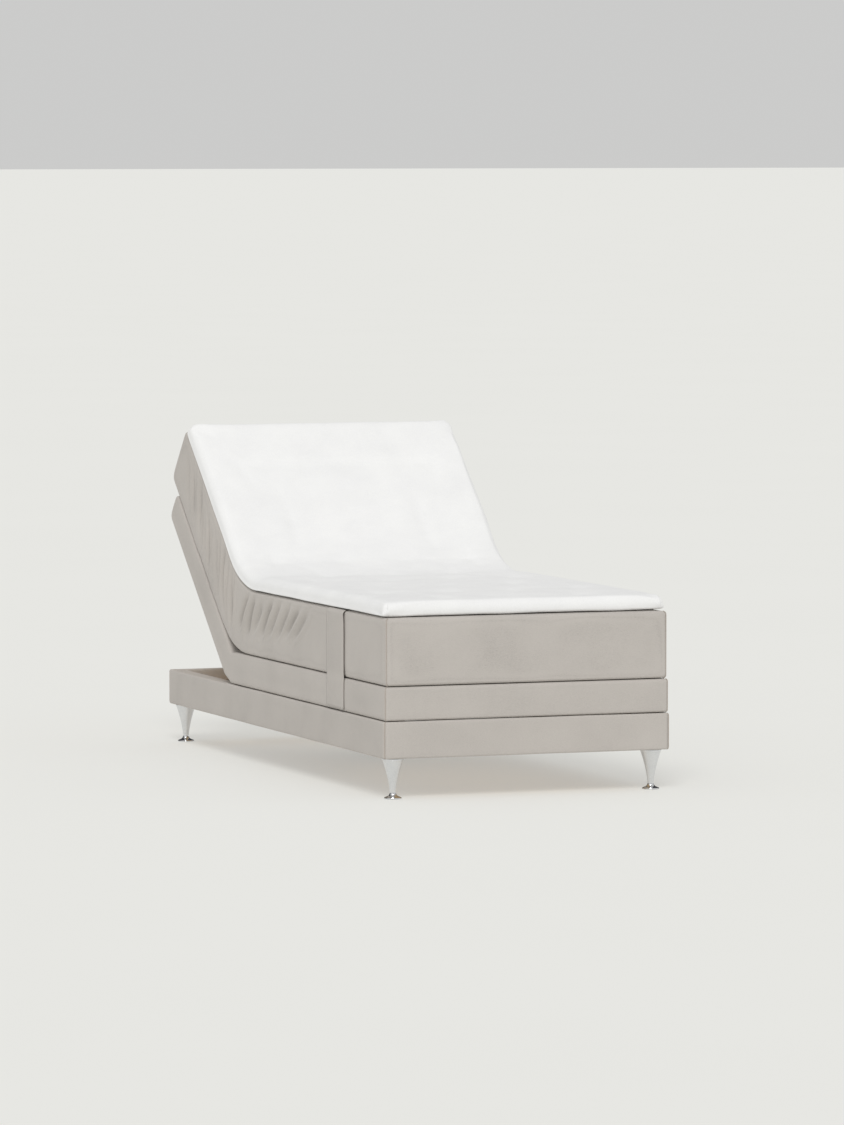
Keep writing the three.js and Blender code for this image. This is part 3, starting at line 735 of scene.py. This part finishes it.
def topper():
    half = CALF_TOPPER[1].x + 0.0025
    low = np.array([-half, CALF_TOPPER[0].y + 0.002, MATTRESS_TOP + 0.0015])
    high = np.array([half, TOPPER_HEAD_Y - 0.004, TOPPER_TOP - 0.007])
    obj = grid_block(
        "topper", stations(low[0], high[0], TOPPER_EDGE[0], 0.016),
        stations(low[1], high[1], TOPPER_EDGE[1], 0.016, [(0.2, 0.65, 0.012)]),
        stations(low[2], high[2], TOPPER_EDGE[2], 0.010), TOPPER_EDGE,
    )
    start = coords(obj)
    for side_x, x in ((-1, low[0]), (1, high[0])):
        for side_y, y in ((-1, low[1]), (1, high[1])):
            round_corners(start, (0, 1), (x, y), (side_x, side_y), TOPPER_CORNER)
    square_lower_edge(start, half, low[2])
    # the underside and the tufts hold still while the topper puffs up
    held = np.where(start[:, 2] < low[2] + 0.004, 1.0, 0.0)
    dimple = np.zeros(len(start))
    top = start[:, 2] > high[2] - 0.004
    for x, y in tuft_places():
        near = np.hypot(start[:, 0] - x, start[:, 1] - y)
        held = np.maximum(held, np.where(top & (near < TUFT_TIE), 1.0, 0.0))
        dimple = np.maximum(dimple, bell(near / TUFT_SPREAD))
    start[:, 2] -= np.where(top, TUFT_DEPTH * dimple, 0)
    set_coords(obj, start)
    inflate(obj, TOPPER_PRESSURE, TOPPER_PUFF, held)
    subdivide(obj)
    points = coords(obj)
    upper = smoothstep(low[2] + 0.004, high[2], points[:, 2])
    points += normals(obj) * (upper * 0.0012 * waves(points, 0.30, 11))[:, None]
    # the hem lifts a little here and there
    rim = (np.abs(points[:, 0]) > half - HEM_WIDTH) | (points[:, 1] < low[1] + HEM_WIDTH)
    hem = np.where(rim, 1 - smoothstep(low[2], low[2] + 0.02, points[:, 2]), 0)
    points[:, 2] += hem * HEM_LIFT * (1 + waves(points, 0.22, 23)) + upper_rise(points[:, 1])
    set_coords(obj, points)
    split_and_fold(obj, "topper", "topper_cloth", (MATTRESS_BEND, THIGH_BEND, KNEE_BEND))


# ---- upholstered platform -----------------------------------------------------------------------
PAD_INSET = 0.0005
PAD_EDGE = np.array([0.009, 0.009, 0.008])
PAD_HEAD_ROUNDING = {"lower": 0.024, "upper": 0.018}
RECESS_STEP = 0.001


def platform():
    low = np.array([-SLAB_HALF_WIDTH + PAD_INSET, FOOT_Y + PAD_INSET, SLAB_BOTTOM])
    high = np.array([SLAB_HALF_WIDTH - PAD_INSET, SLAB_HEAD_Y - 0.001, SLAB_TOP - 0.0008])
    rim = DECK_INSET - 0.0005
    hinges = (BACK_PIVOT[1], THIGH_PIVOT[1])
    fine = [(y - 0.035, y + 0.035, 0.004) for y in hinges]
    fine.append((KNEE_PIVOT[1] - 0.05, KNEE_PIVOT[1] + 0.05, 0.008))

    def with_recess(lines, start, end):
        """Grid lines with the recess's wall added at both ends."""
        walls = [start + rim, start + rim + RECESS_STEP, end - rim - RECESS_STEP, end - rim]
        return np.array(sorted([*lines, *walls]))

    obj = grid_block(
        "pad", with_recess(stations(low[0], high[0], PAD_EDGE[0], 0.030), low[0], high[0]),
        with_recess(stations(low[1], high[1], PAD_EDGE[1], 0.025, fine), low[1], high[1]),
        stations(low[2], high[2], PAD_EDGE[2], 0.010), PAD_EDGE,
    )
    points = coords(obj)
    round_corners(points, (1, 2), (high[1], low[2]), (1, -1), PAD_HEAD_ROUNDING["lower"])
    round_corners(points, (1, 2), (high[1], high[2]), (1, 1), PAD_HEAD_ROUNDING["upper"])
    # the deck board sits in a recess under the pad
    inside = (
        (np.abs(points[:, 0]) < high[0] - rim - 0.0004)
        & (points[:, 1] > low[1] + rim + 0.0004) & (points[:, 1] < high[1] - rim - 0.0004)
    )
    underside = points[:, 2] < low[2] + 1e-5
    points[inside & underside, 2] = CALF_DECK[1].z + 0.0003
    # the cloth is drawn slightly over the foam
    outward = np.abs(points[:, 0]) > high[0] - 1e-4
    level = np.clip((points[:, 2] - low[2]) / (high[2] - low[2]), 0, 1)
    points[outward, 0] += np.sign(points[outward, 0]) * 0.0012 * np.sin(math.pi * level[outward])
    set_coords(obj, points)
    bends = (SLAB_BEND, SLAB_THIGH_BEND, SLAB_KNEE_BEND)
    split_and_fold(obj, "pad", "bed_cloth", bends, SLAB_SEAT_SPLIT)


# ---- upholstered base frame ---------------------------------------------------------------------
BASE_CORNER = 0.0147
BASE_EDGE = 0.006


def rounded_rectangle(half_x, half_y, radius, step=0.03, turns=8):
    """The outline of a rectangle with round corners, as points all the way round."""
    points = []
    corners = [(1, -1, -90), (1, 1, 0), (-1, 1, 90), (-1, -1, 180)]
    for number, (sx, sy, start) in enumerate(corners):
        cx, cy = sx * (half_x - radius), sy * (half_y - radius)
        for turn in range(turns + 1):
            angle = math.radians(start + 90 * turn / turns)
            points.append((cx + radius * math.cos(angle), cy + radius * math.sin(angle)))
        nx, ny, nstart = corners[(number + 1) % 4]
        angle = math.radians(nstart)
        target = (nx * (half_x - radius) + radius * math.cos(angle),
                  ny * (half_y - radius) + radius * math.sin(angle))
        here = points[-1]
        length = math.hypot(target[0] - here[0], target[1] - here[1])
        count = int(length / step)
        for part in range(1, count):
            share = part / count
            points.append((here[0] + (target[0] - here[0]) * share, here[1] + (target[1] - here[1]) * share))
    return np.array(points)


def section_points(thick, low, high, radius, side_steps=7):
    """Half-rounded rail section, as (depth from the outer face, height), all the way round."""
    points = []
    corners = [
        ((thick - radius, low + radius), 270), ((thick - radius, high - radius), 0),
        ((radius, high - radius), 90), ((radius, low + radius), 180),
    ]
    for number, ((cx, cz), start) in enumerate(corners):
        for turn in range(5):
            angle = math.radians(start + 90 * turn / 4)
            points.append((cx + radius * math.cos(angle), cz + radius * math.sin(angle)))
        here = points[-1]
        (nx, nz), nstart = corners[(number + 1) % 4]
        angle = math.radians(nstart)
        target = (nx + radius * math.cos(angle), nz + radius * math.sin(angle))
        steps = side_steps if number % 2 == 0 and abs(target[1] - here[1]) > 0.03 else 3
        for part in range(1, steps):
            share = part / steps
            points.append((here[0] + (target[0] - here[0]) * share, here[1] + (target[1] - here[1]) * share))
    return points


def base_upholstery():
    half_x, half_y = BASE_HIGH.x, BASE_HIGH.y
    outer = rounded_rectangle(half_x - 0.0003, half_y - 0.0003, BASE_CORNER)
    inner_corner = np.array([RAIL_INNER_X, RAIL_INNER_Y])
    inner = np.clip(outer, -inner_corner, inner_corner)
    depth = inner - outer
    thick = np.linalg.norm(depth, axis=1)
    rings = []
    for share, height in section_points(1.0, BASE_LOW.z, BASE_HIGH.z, BASE_EDGE):
        # the section is drawn one metre deep; its rounded edges keep their size on any rail
        inset = np.where(share < 0.5, np.minimum(share, BASE_EDGE), thick - np.minimum(1 - share, BASE_EDGE))
        if BASE_EDGE < share < 1 - BASE_EDGE:
            inset = thick * share
        rings.append(np.column_stack([outer + depth * (inset / thick)[:, None], np.full(len(outer), height)]))
    verts = np.concatenate(rings)
    count, total = len(outer), len(rings)
    faces = []
    for ring in range(total):
        following = (ring + 1) % total
        for point in range(count):
            after = (point + 1) % count
            faces.append((ring * count + point, following * count + point,
                          following * count + after, ring * count + after))
    obj = new_object("base_cloth", verts, faces)
    face_outwards(obj, merge=1e-5)
    points = coords(obj)
    points += normals(obj) * (0.00035 * waves(points, 0.25, 5))[:, None]
    set_coords(obj, points)
    store_flat(obj, points)
    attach(obj, "base")
    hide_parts("side_rail_left", "side_rail_right", "foot_rail", "head_rail")
    dress(obj, MATERIALS["bed_cloth"])


# ---- seams at the corners -----------------------------------------------------------------------
def tube(name, path, radius, sides=8):
    """A closed tube along a path."""
    path = np.array(path, float)
    tangent = np.gradient(path, axis=0)
    tangent /= np.linalg.norm(tangent, axis=1, keepdims=True)
    verts, faces = [], []
    guide = np.array([0.0, 0.0, 1.0]) if abs(tangent[0][2]) < 0.9 else np.array([1.0, 0.0, 0.0])
    for point, along in zip(path, tangent):
        first = np.cross(along, guide)
        first /= np.linalg.norm(first)
        second = np.cross(along, first)
        guide = np.cross(first, along)
        for side in range(sides):
            angle = 2 * math.pi * side / sides
            verts.append(point + radius * (math.cos(angle) * first + math.sin(angle) * second))
    rings = len(path)
    for ring in range(rings - 1):
        for side in range(sides):
            after = (side + 1) % sides
            a, b = ring * sides + side, ring * sides + after
            faces.append((a, b, b + sides, a + sides))
    faces.append(tuple(range(sides))[::-1])
    faces.append(tuple((rings - 1) * sides + side for side in range(sides)))
    return new_object(name, verts, faces)


def joined(name, objects):
    """One object made of several, which it replaces."""
    mesh = bmesh.new()
    for obj in objects:
        mesh.from_mesh(obj.data)
        bpy.data.objects.remove(obj)
    bmesh.ops.recalc_face_normals(mesh, faces=mesh.faces)
    made = bpy.data.meshes.new(name)
    mesh.to_mesh(made)
    mesh.free()
    obj = bpy.data.objects.new(name, made)
    bpy.context.collection.objects.link(obj)
    obj.data.polygons.foreach_set("use_smooth", [True] * len(obj.data.polygons))
    return obj


def corner_path(x, y, low, high, radius, edge, side_y):
    """Up a rounded vertical corner, following its upper and lower rounding."""
    slope = math.sqrt(0.5)
    sx = 1 if x > 0 else -1
    rise = np.radians(range(0, 91, 18))
    lower = [(low + edge * (1 - math.cos(a)), edge * (1 - math.sin(a))) for a in rise]
    middle = [(z, 0.0) for z in np.linspace(low + edge, high - edge, 9)[1:-1]]
    upper = [(high - (z - low), inset) for z, inset in lower[::-1]]
    points = []
    for z, inset in lower + middle + upper:
        back = radius * (1 - slope) + inset * slope - SEAM_STANDS_OUT
        points.append((x - sx * back, y - side_y * back, z))
    return points


SEAM_RADIUS, SEAM_STANDS_OUT, SEAM_END_GAP = 0.0014, 0.0006, 0.001


def seams():
    """Piping up the corners: at both ends of the base, and at the foot end of pad and mattress."""
    mattress_x, mattress_y = SLAB_HALF_WIDTH - MATTRESS_SIDE_INSET, FOOT_Y + MATTRESS_FOOT_INSET
    base = (BASE_HIGH.x, BASE_LOW.z, BASE_HIGH.z, BASE_CORNER, BASE_EDGE)
    rows = (
        ("base", "foot", -BASE_HIGH.y, *base),
        ("base", "head", BASE_HIGH.y, *base),
        ("pad", "foot", FOOT_Y + PAD_INSET, SLAB_HALF_WIDTH, SLAB_BOTTOM, SLAB_TOP, PAD_EDGE[0], 0.007),
        ("mattress", "foot", mattress_y, mattress_x, SLAB_TOP, MATTRESS_TOP, MATTRESS_EDGE[0], 0.010),
    )
    for name, end, y, x, low, high, radius, edge in rows:
        side_y = 1 if end == "head" else -1
        tubes = []
        for side in (-1, 1):
            bottom, top = low + SEAM_END_GAP, high - SEAM_END_GAP
            path = corner_path(side * x, y, bottom, top, radius, edge, side_y)
            tubes.append(tube(f"{name}_{end}_{side}", path, SEAM_RADIUS))
        obj = joined(f"{name}_seam_{end}", tubes)
        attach(obj, "base" if name == "base" else "calf")
        dress(obj, PIPING)


# ---- straps -------------------------------------------------------------------------------------
STRAP_THICKNESS = 0.0016
STRAP_EDGE = 0.014
STRAP_UNDER_TOPPER = 0.034
STRAP_LIFT = 0.0006


def bump_at(value, place, width):
    return math.exp(-((value - place) / width) ** 2)


def strap(name, side):
    """A flat cloth strap that comes from under the topper and runs down over the mattress and pad."""
    low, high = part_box(f"strap_{name}")
    half = SLAB_HALF_WIDTH
    path = [(half - STRAP_UNDER_TOPPER, MATTRESS_TOP + STRAP_LIFT)]
    for angle in np.radians(np.linspace(90, 0, 8)):
        x = half - STRAP_EDGE + STRAP_EDGE * math.cos(angle)
        z = MATTRESS_TOP - STRAP_EDGE + STRAP_EDGE * math.sin(angle) + STRAP_LIFT
        path.append((x, z))
    path += [(half, z) for z in np.linspace(MATTRESS_TOP - STRAP_EDGE - 0.012, low.z, 30)]
    path = np.array(path)
    across = np.linspace(low.y, high.y, 25)
    outer, inner = [], []
    for x, z in path:
        down = np.clip((MATTRESS_TOP - z) / 0.3, 0, 1)
        dip = -0.0010 * bump_at(z, SLAB_TOP, 0.010)
        for y in across:
            share = (y - low.y) / (high.y - low.y)
            # the long edges stand out a little, and the foot-side edge is drawn in near the top
            lift = 0.0008 + 0.0018 * bump_at(share, 0, 0.10) + 0.0006 * bump_at(share, 1, 0.07)
            drawn_in = 0.006 * bump_at(down, 0, 0.10) * (1 - share) ** 3
            outer.append((x + lift + STRAP_THICKNESS + dip, y + drawn_in, z))
            inner.append((x + lift + dip, y + drawn_in, z))
    rows, columns = len(path), len(across)
    verts = [(side * x, y, z) for x, y, z in outer + inner]
    offset = rows * columns
    faces = []
    for row in range(rows - 1):
        for column in range(columns - 1):
            a = row * columns + column
            quad = (a, a + 1, a + columns + 1, a + columns)
            faces.append(quad)
            faces.append(tuple(offset + v for v in quad[::-1]))
    for row in range(rows - 1):
        for column in (0, columns - 1):
            a = row * columns + column
            faces.append((a, a + columns, offset + a + columns, offset + a))
    for column in range(columns - 1):
        for row in (0, rows - 1):
            a = row * columns + column
            faces.append((a, a + 1, offset + a + 1, offset + a))
    obj = new_object(f"mattress_strap_{name}", verts, faces)
    face_outwards(obj)
    store_flat(obj, coords(obj))
    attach(obj, "calf")
    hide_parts(f"strap_{name}")
    dress(obj, MATERIALS["bed_cloth"])


# ---- legs ---------------------------------------------------------------------------------------
LEG_SEGMENTS = 64


def leg_profile():
    """Radius and height, in metres, from the floor up: disc foot, waist, concave taper, collar."""
    disc = [(0.0235, 0.0), (0.0250, 0.0006), (0.0257, 0.0018), (0.0257, 0.0034), (0.0250, 0.0044)]
    disc += [(0.0228, 0.0054), (0.0196, 0.0066), (0.0160, 0.0082), (0.0126, 0.0104), (0.0105, 0.0132)]
    waist, waist_height = 0.0093, 0.0170
    top_radius, top_height = 0.0306, 0.1135
    taper = []
    for share in np.linspace(0, 1, 17):
        radius = waist + (top_radius - waist) * share**1.55
        taper.append((radius, waist_height + (top_height - waist_height) * share))
    collar = [(0.0314, 0.1140), (0.0320, 0.1148), (0.0320, 0.1188), (0.0314, 0.1197)]
    return disc + taper + collar


def leg(node):
    """A turned leg in the place of a CAD leg."""
    low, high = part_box(node)
    centre = (low + high) / 2
    profile = leg_profile()
    verts, faces = [], []
    for radius, height in profile:
        for part in range(LEG_SEGMENTS):
            angle = 2 * math.pi * part / LEG_SEGMENTS
            verts.append((centre.x + radius * math.cos(angle), centre.y + radius * math.sin(angle), height))
    rings = len(profile)
    for ring in range(rings - 1):
        for part in range(LEG_SEGMENTS):
            after = (part + 1) % LEG_SEGMENTS
            a, b = ring * LEG_SEGMENTS + part, ring * LEG_SEGMENTS + after
            faces.append((a, b, b + LEG_SEGMENTS, a + LEG_SEGMENTS))
    faces.append(tuple(range(LEG_SEGMENTS))[::-1])
    faces.append(tuple((rings - 1) * LEG_SEGMENTS + part for part in range(LEG_SEGMENTS)))
    obj = new_object(f"chrome_{node}", verts, faces)
    obj.data.polygons[-1].use_smooth = False
    obj.data.polygons[-2].use_smooth = False
    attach(obj, "base")
    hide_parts(node)
    dress(obj, MATERIALS["chrome"])


# ---- stage --------------------------------------------------------------------------------------
STUDIO_WHITE = (1.0, 1.0, 0.99, 1)
FLOOR_REACH = 300


def studio_world():
    """Even soft light. Polished metal sees it dark beyond the bed and bright in front of it."""
    world = bpy.data.worlds.new("studio")
    bpy.context.scene.world = world
    world.use_nodes = True
    tree = world.node_tree
    sky = tree.nodes["Background"]
    sky.inputs["Color"].default_value = STUDIO_WHITE
    sky.inputs["Strength"].default_value = 0.60
    place = tree.nodes.new("ShaderNodeTexCoord")
    parts = tree.nodes.new("ShaderNodeSeparateXYZ")
    ramp = tree.nodes.new("ShaderNodeValToRGB")
    ray = tree.nodes.new("ShaderNodeLightPath")
    mix = tree.nodes.new("ShaderNodeMix")
    mix.data_type = "RGBA"
    mix.inputs["A"].default_value = STUDIO_WHITE
    bright, dark = ramp.color_ramp.elements
    bright.position, bright.color = 0.10, (1.1, 1.1, 1.1, 1)
    dark.position, dark.color = 0.45, (0.10, 0.10, 0.11, 1)
    tree.links.new(place.outputs["Generated"], parts.inputs[0])
    tree.links.new(parts.outputs["Y"], ramp.inputs["Fac"])
    tree.links.new(ray.outputs["Is Glossy Ray"], mix.inputs["Factor"])
    tree.links.new(ramp.outputs["Color"], mix.inputs["B"])
    tree.links.new(mix.outputs["Result"], sky.inputs["Color"])


def studio_floor():
    reach = FLOOR_REACH
    corners = [(-reach, -reach, 0), (reach, -reach, 0), (reach, reach, 0), (-reach, reach, 0)]
    floor = new_object("floor", corners, [(0, 1, 2, 3)])
    nodes = Nodes("studio_floor", Roughness=0.95, Emission_Strength=0.37)
    nodes.shader.inputs["Specular IOR Level"].default_value = 0.0
    nodes.shader.inputs["Emission Color"].default_value = (1.0, 1.0, 0.97, 1)
    cloudy = nodes.noise(nodes.place(), 0.7, 2.0)
    shade = nodes.ramp(cloudy, [(0.3, (0.496, 0.496, 0.478)), (0.7, (0.502, 0.502, 0.484))])
    nodes.finish(shade)
    dress(floor, nodes.material)


def key_light():
    data = bpy.data.lights.new("key", "SUN")
    data.energy = 1.15
    data.angle = math.radians(24)
    data.color = (1.0, 0.995, 0.98)
    sun = bpy.data.objects.new("key", data)
    aim = Vector((0.36, 0.78, -0.85))
    sun.rotation_euler = aim.to_track_quat("-Z", "Y").to_euler()
    bpy.context.collection.objects.link(sun)


def camera():
    focal_pixels, width_pixels, sensor = 6500.0, 844.0, 36.0
    yaw, pitch = math.radians(20.437), math.radians(3.796)
    data = bpy.data.cameras.new("camera")
    data.sensor_fit = "HORIZONTAL"
    data.sensor_width = sensor
    data.lens = sensor * focal_pixels / width_pixels
    data.clip_end = 2000
    eye = bpy.data.objects.new("camera", data)
    eye.location = (-6.909, -18.651, 1.941)
    forward = Vector((math.sin(yaw) * math.cos(pitch), math.cos(yaw) * math.cos(pitch), -math.sin(pitch)))
    eye.rotation_euler = forward.to_track_quat("-Z", "Y").to_euler()
    bpy.context.collection.objects.link(eye)
    bpy.context.scene.camera = eye


bpy.context.scene.view_settings.view_transform = "Standard"
camera()
studio_world()
studio_floor()
key_light()
dress_cad_nodes()
mattress()
topper()
platform()
base_upholstery()
seams()
for strap_name, strap_side in (("left", -1), ("right", 1)):
    strap(strap_name, strap_side)
for leg_end in ("foot", "head"):
    for leg_side in ("left", "right"):
        leg(f"leg_{leg_end}_{leg_side}")
